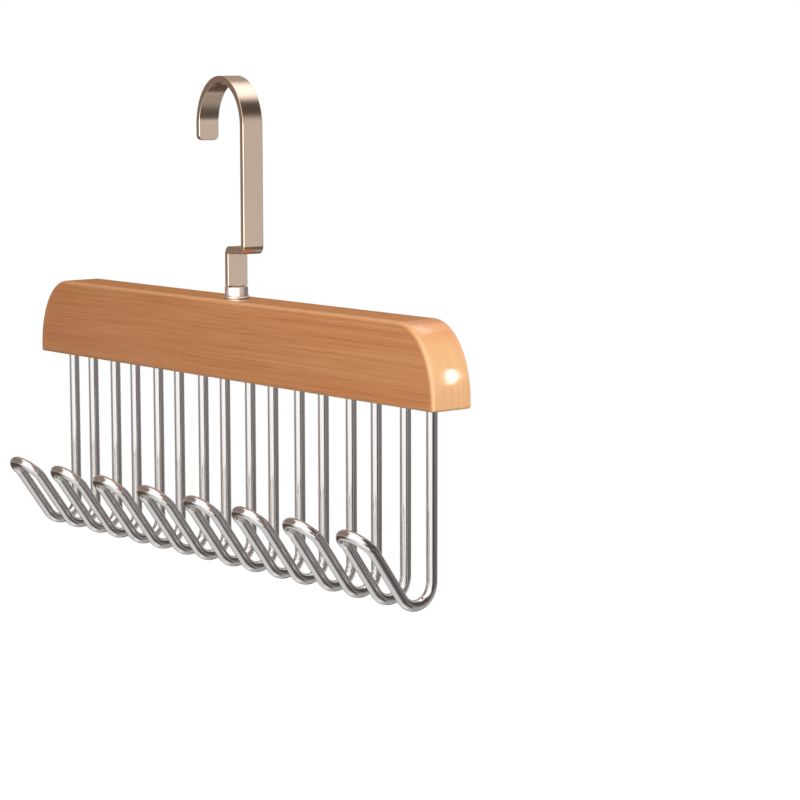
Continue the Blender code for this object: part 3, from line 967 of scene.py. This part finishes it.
class HANGER_OT_strap(bpy.types.Operator):
    """Model the flat champagne coloured hook"""

    bl_idname = "hanger.strap"
    bl_label = "Flat Hook"

    def execute(self, context):
        strap = context.scene.hanger_strap
        piece = self.bend_strip(strap)
        self.shape_ends(piece, strap)
        apply_modifier(
            piece,
            "BEVEL",
            width=strap.edge_radius,
            segments=STRIP_EDGE_STEPS,
            limit_method="ANGLE",
            angle_limit=CORNER_ANGLE,
        )
        piece.rotation_euler = (0, 0, strap.turn)
        piece.location = (STEM_X, STEM_Y, 0)
        settle(piece)
        smooth(piece, SMOOTH_STRIP)
        apply_modifier(piece, "WEIGHTED_NORMAL", keep_sharp=True)
        dress(piece, champagne_material(strap), "hook", "hook_strap")
        return {"FINISHED"}

    @staticmethod
    def bend_strip(strap):
        """Bend the strip: foot, jog, leg, arch and free end, with the swivel at X zero."""
        foot = STRAP_LOW.z + strap.tongue_length + FOOT_GAP
        bend = strap.bend + strap.thickness / 2
        jog = BAR_TOP + strap.jog
        arch = strap.arch + strap.thickness / 2
        leg = arch - strap.offset
        arch_z = STRAP_HIGH.z - strap.thickness - strap.arch
        margin = strap.thickness / 10
        bpy.ops.object.select_all(action="DESELECT")
        bpy.ops.mesh.primitive_plane_add(size=1, location=(0, 0, foot))
        piece = start_piece("flat_hook")
        piece.scale = (strap.thickness, strap.width, 1)
        settle(piece)
        edit(piece, "FACE")
        bpy.ops.mesh.select_all(action="SELECT")
        extrude_run((0, 0, jog - bend - foot), margin)
        spin(math.pi / 2, STRIP_BEND_STEPS, (bend, 0, jog - bend), (0, 1, 0))
        extrude((leg - 2 * bend, 0, 0))
        spin(-math.pi / 2, STRIP_BEND_STEPS, (leg - bend, 0, jog + bend), (0, 1, 0))
        extrude_run((0, 0, arch_z - jog - bend), margin)
        spin(-math.pi, ARCH_STEPS, (-strap.offset, 0, arch_z), (0, 1, 0))
        extrude((0, 0, -margin))
        extrude((0, 0, margin - strap.free_end))
        tidy_shell()
        close_edit()
        return piece

    @staticmethod
    def shape_ends(piece, strap):
        """Round the corners of the free end, and draw the tongue from the foot."""
        end_z = STRAP_HIGH.z - strap.thickness - strap.arch - strap.free_end
        foot = STRAP_LOW.z + strap.tongue_length + FOOT_GAP
        near = strap.thickness / 10

        def at_end(edge):
            middle = middle_of(edge)
            beyond = middle.x < -strap.offset and abs(middle.z - end_z) < near
            return beyond and runs_along(edge, X_AXIS)

        def at_foot(face):
            return face.normal.z < -NEARLY and abs(face.calc_center_median().z - foot) < near

        edit(piece, "EDGE")
        pick(piece, "EDGE", at_end)
        bevel(strap.end_corner, END_CORNER_STEPS)
        for side in (-1, 1):
            cut = (0, side * strap.tongue_width / 2, 0)
            pick(piece, "FACE", at_foot)
            bpy.ops.mesh.bisect(plane_co=cut, plane_no=(0, 1, 0))
        pick(
            piece,
            "FACE",
            lambda face: at_foot(face) and abs(face.calc_center_median().y) < near,
        )
        extrude((0, 0, -strap.tongue_length - FOOT_GAP))
        close_edit()


class HANGER_OT_ferrule(bpy.types.Operator):
    """Model the turned ferrule"""

    bl_idname = "hanger.ferrule"
    bl_label = "Ferrule"

    def execute(self, context):
        ferrule = context.scene.hanger_ferrule
        piece = draw_line("turned_ferrule", self.outline(ferrule))
        spin(math.tau, FERRULE_STEPS, (STEM_X, STEM_Y, 0), (0, 0, 1))
        tidy_shell()
        close_edit()
        smooth(piece, SMOOTH_FERRULE)
        material = polished_material("polished_ferrule", ferrule.tint, FERRULE_ROUGHNESS)
        dress(piece, material, "bar", "ferrule")
        return {"FINISHED"}

    @staticmethod
    def outline(ferrule):
        """Outline of the ferrule's wall, down its outer side and back up its bore."""
        bottom, top = FERRULE_LOW.z, FERRULE_HIGH.z
        foot = BAR_TOP + FOOT_GAP
        rim = ferrule.radius + ferrule.flare
        shoulder = top - ferrule.head_depth
        points = [(ferrule.head_bore, top)]
        for step in range(COLLAR_EDGE_STEPS + 1):
            turn = math.pi / 2 * step / COLLAR_EDGE_STEPS
            points.append(
                (
                    ferrule.radius - ferrule.edge_radius * (1 - math.sin(turn)),
                    top - ferrule.edge_radius * (1 - math.cos(turn)),
                )
            )
        for step in range(FLARE_STEPS + 1):
            turn = math.pi / 2 * (1 - step / FLARE_STEPS)
            points.append(
                (
                    rim - ferrule.flare * math.sin(turn),
                    foot + ferrule.rim_height + ferrule.flare_height * (1 - math.cos(turn)),
                )
            )
        points += [
            (rim, foot),
            (ferrule.barrel_radius, foot),
            (ferrule.barrel_radius, bottom),
            (ferrule.stem_bore, bottom),
            (ferrule.stem_bore, shoulder),
            (ferrule.head_bore, shoulder),
            (ferrule.head_bore, top),
        ]
        return [Vector((STEM_X + radius, STEM_Y, height)) for radius, height in points]


class HANGER_OT_stem(bpy.types.Operator):
    """Finish the hidden stem and its washer"""

    bl_idname = "hanger.stem"
    bl_label = "Stem and Washer"

    def execute(self, context):
        material = turned_material(context.scene.hanger_stem)
        for name in HIDDEN_NODES:
            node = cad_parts[name]
            node.data.materials.clear()
            node.data.materials.append(material)
        return {"FINISHED"}


def panel_material(name, azimuths, fade, foot, brow, glow, see_through):
    """Paint that glows on the panel's inner side and fades out towards its borders.

    The foot and the brow are each two heights, where the glow begins and where it is full.
    A panel that is seen through adds its glow to what lies behind it.
    """
    material, shader = new_shader(name + "_paint")
    from_middle = shader.place(shift=-MIDDLE)
    centre = sum(azimuths) / 2
    along = shader.dot(from_middle, towards(centre, 0))
    across = shader.dot(from_middle, towards(centre + 90, 0))
    height = shader.dot(from_middle, Vector((0, 0, 1)))
    turn = shader.math("ABSOLUTE", shader.math("ARCTAN2", across, along))
    half = math.radians(azimuths[1] - azimuths[0]) / 2
    inside = shader.between(turn, half, half - math.radians(fade))
    inside = inside * shader.between(height, *foot) * shader.between(height, *brow)
    inside = inside * (1 - shader.node("ShaderNodeNewGeometry", output="Backfacing"))
    clear = shader.node("ShaderNodeBsdfTransparent", {}, {"Color": WHITE})
    light = shader.node("ShaderNodeEmission", {}, {"Color": rgba(glow), "Strength": 1})
    if see_through:
        light = shader.node("ShaderNodeAddShader", {}, {0: clear, 1: light})
    shader.finish(shader.blend(inside, clear, light))
    return material


def add_panel(name, azimuths, elevations, reach, glow, fades, pieces=()):
    """A patch of a globe round the hanger, seen by glossy surfaces only.

    With pieces given, it lights only those.
    """
    (west, east), (low, high) = azimuths, elevations
    side_fade, foot_fade, top_fade = fades
    rise = (high - low) / PANEL_LIFT_STEPS
    lifts = [low + rise * step for step in range(PANEL_LIFT_STEPS + 1)]
    panel = draw_line(name, [MIDDLE + towards(west, lift) * reach for lift in lifts])
    spin(math.radians(east - west), PANEL_TURN_STEPS, MIDDLE, (0, 0, 1))
    close_edit()
    foot = (reach * sine(low), reach * sine(low + foot_fade))
    brow = (reach * sine(high), reach * sine(high - top_fade))
    paint = panel_material(name, azimuths, side_fade, foot, brow, glow, bool(pieces))
    panel.data.materials.append(paint)
    panel.visible_camera = False
    panel.visible_diffuse = False
    panel.visible_shadow = False
    if pieces:
        light_only(panel, pieces)


def light_only(panel, pieces):
    """Let a panel light some pieces only, given by their names."""
    receivers = bpy.data.collections.new(panel.name + "_receivers")
    for piece in pieces:
        receivers.objects.link(bpy.data.objects[piece])
    panel.light_linking.receiver_collection = receivers


class HANGER_OT_stage(bpy.types.Operator):
    """Set up the floor, the light and the camera"""

    bl_idname = "hanger.stage"
    bl_label = "Stage"

    def execute(self, context):
        stage = context.scene.hanger_stage
        context.scene.view_settings.view_transform = "Standard"
        self.add_floor(stage)
        self.add_world(stage)
        self.add_lamps(stage)
        self.add_panels()
        self.add_camera(stage)
        return {"FINISHED"}

    @staticmethod
    def add_floor(stage):
        """A pale round floor well below the hanger."""
        bpy.ops.object.select_all(action="DESELECT")
        bpy.ops.mesh.primitive_circle_add(
            vertices=FLOOR_SIDES,
            radius=stage.floor_radius,
            fill_type="NGON",
            location=(0, 0, CAD_BOX[0].z - stage.floor_drop),
        )
        floor = start_piece("studio_floor")
        material, shader = new_shader("pale_floor")
        diffuse = shader.node("ShaderNodeBsdfDiffuse", {}, {"Color": rgba(stage.floor)})
        glow = shader.node("ShaderNodeEmission", {}, {"Color": WHITE, "Strength": FLOOR_GLOW})
        shader.finish(shader.blend(shader.seen() * FLOOR_GLOW_SHARE, diffuse, glow))
        floor.data.materials.append(material)

    @staticmethod
    def add_world(stage):
        """White where the camera and the metal look, and an even fill for the rest."""
        world = bpy.data.worlds.new("studio")
        bpy.context.scene.world = world
        shader = Shader(world)
        fill = shader.node("ShaderNodeBackground", {}, {"Color": WHITE, "Strength": stage.fill})
        white = shader.node("ShaderNodeBackground", {}, {"Color": WHITE, "Strength": 1})
        shader.finish(shader.blend(shader.seen(), fill, white), "ShaderNodeOutputWorld")

    @staticmethod
    def add_lamps(stage):
        """Soft lamps on the right and in front, and slim ones for the end's highlights.

        The soft lamps don't show in gloss. The slim ones do, and their beams are narrow.
        """
        beams = (
            ("key_lamp", stage.key, None),
            ("front_lamp", stage.front, None),
            ("glint_lamp", stage.glint, stage.glint_spread),
            ("shine_lamp", stage.shine, stage.shine_spread),
        )
        for name, power, spread in beams:
            aim, azimuth, elevation, tilt, distance, size = LAMPS[name]
            data = bpy.data.lights.new(name, "AREA")
            data.shape = "ELLIPSE"
            data.size, data.size_y = size
            data.energy = power
            if spread:
                data.spread = spread
            lamp = bpy.data.objects.new(name, data)
            bpy.context.scene.collection.objects.link(lamp)
            away = towards(azimuth, elevation)
            facing = away.to_track_quat("Z", "Y").to_matrix()
            tilted = facing @ Matrix.Rotation(math.radians(-tilt), 3, "Z")
            lamp.location = aim + away * distance
            lamp.rotation_euler = tilted.to_euler()
            lamp.visible_camera = False
            lamp.visible_glossy = spread is not None

    @staticmethod
    def add_panels():
        """Softboxes and dark screens round the hanger that only its gloss shows."""
        for row in PANELS:
            add_panel(*row, PANEL_FADES)
        for row in HOOK_PANELS:
            add_panel(*row, HOOK_PIECES)

    @staticmethod
    def add_camera(stage):
        """The camera, at the photograph's viewing angle."""
        yaw, pitch, roll = stage.azimuth, stage.elevation, stage.roll
        forward = Vector(
            (-math.sin(yaw) * math.cos(pitch), math.cos(yaw) * math.cos(pitch), -math.sin(pitch))
        )
        right = Vector((math.cos(yaw), math.sin(yaw), 0))
        up = right.cross(forward)
        rolled_right = right * math.cos(roll) + up * math.sin(roll)
        rolled_up = up * math.cos(roll) - right * math.sin(roll)
        data = bpy.data.cameras.new("camera")
        data.lens = stage.lens
        data.sensor_width = FILM_WIDTH
        data.clip_start, data.clip_end = CAMERA_REACH
        camera = bpy.data.objects.new("camera", data)
        bpy.context.scene.collection.objects.link(camera)
        aim = Vector((STEM_X + stage.aim_right, STEM_Y, BAR_TOP - stage.aim_drop))
        place = aim - forward * stage.distance
        turn = Matrix((rolled_right, rolled_up, -forward)).transposed().to_4x4()
        camera.matrix_world = Matrix.Translation(place) @ turn
        bpy.context.scene.camera = camera


class HANGER_PT_panel(bpy.types.Panel):
    """Sizes, colours and steps of the hanger"""

    bl_idname = "HANGER_PT_panel"
    bl_label = "Wooden Hanger"
    bl_space_type = "VIEW_3D"
    bl_region_type = "UI"
    bl_category = "Hanger"

    def draw(self, context):
        for title, operator, settings in STEPS:
            box = self.layout.box()
            box.label(text=title)
            group = getattr(context.scene, settings)
            for key in group.__annotations__:
                box.prop(group, key)
            box.operator(operator)


STEPS = (
    ("Bar", "hanger.bar", "hanger_bar"),
    ("Wire hooks", "hanger.wire_hooks", "hanger_wire"),
    ("Flat hook", "hanger.strap", "hanger_strap"),
    ("Ferrule", "hanger.ferrule", "hanger_ferrule"),
    ("Stem", "hanger.stem", "hanger_stem"),
    ("Stage", "hanger.stage", "hanger_stage"),
)

SETTINGS = {
    "hanger_bar": HangerBarSettings,
    "hanger_wire": HangerWireSettings,
    "hanger_strap": HangerStrapSettings,
    "hanger_ferrule": HangerFerruleSettings,
    "hanger_stem": HangerStemSettings,
    "hanger_stage": HangerStageSettings,
}

CLASSES = (
    *SETTINGS.values(),
    HANGER_OT_bar,
    HANGER_OT_wire_hooks,
    HANGER_OT_strap,
    HANGER_OT_ferrule,
    HANGER_OT_stem,
    HANGER_OT_stage,
    HANGER_PT_panel,
)


def register():
    """Register the classes and hang the settings on the scene."""
    for cls in CLASSES:
        bpy.utils.register_class(cls)
    for name, cls in SETTINGS.items():
        setattr(bpy.types.Scene, name, PointerProperty(type=cls))


def unregister():
    """Take the settings and the classes away again."""
    for name in SETTINGS:
        delattr(bpy.types.Scene, name)
    for cls in reversed(CLASSES):
        bpy.utils.unregister_class(cls)


def main():
    """Build the whole scene."""
    register()
    bpy.ops.hanger.bar()
    bpy.ops.hanger.wire_hooks()
    bpy.ops.hanger.strap()
    bpy.ops.hanger.ferrule()
    bpy.ops.hanger.stem()
    bpy.ops.hanger.stage()


if __name__ == "__main__":
    main()
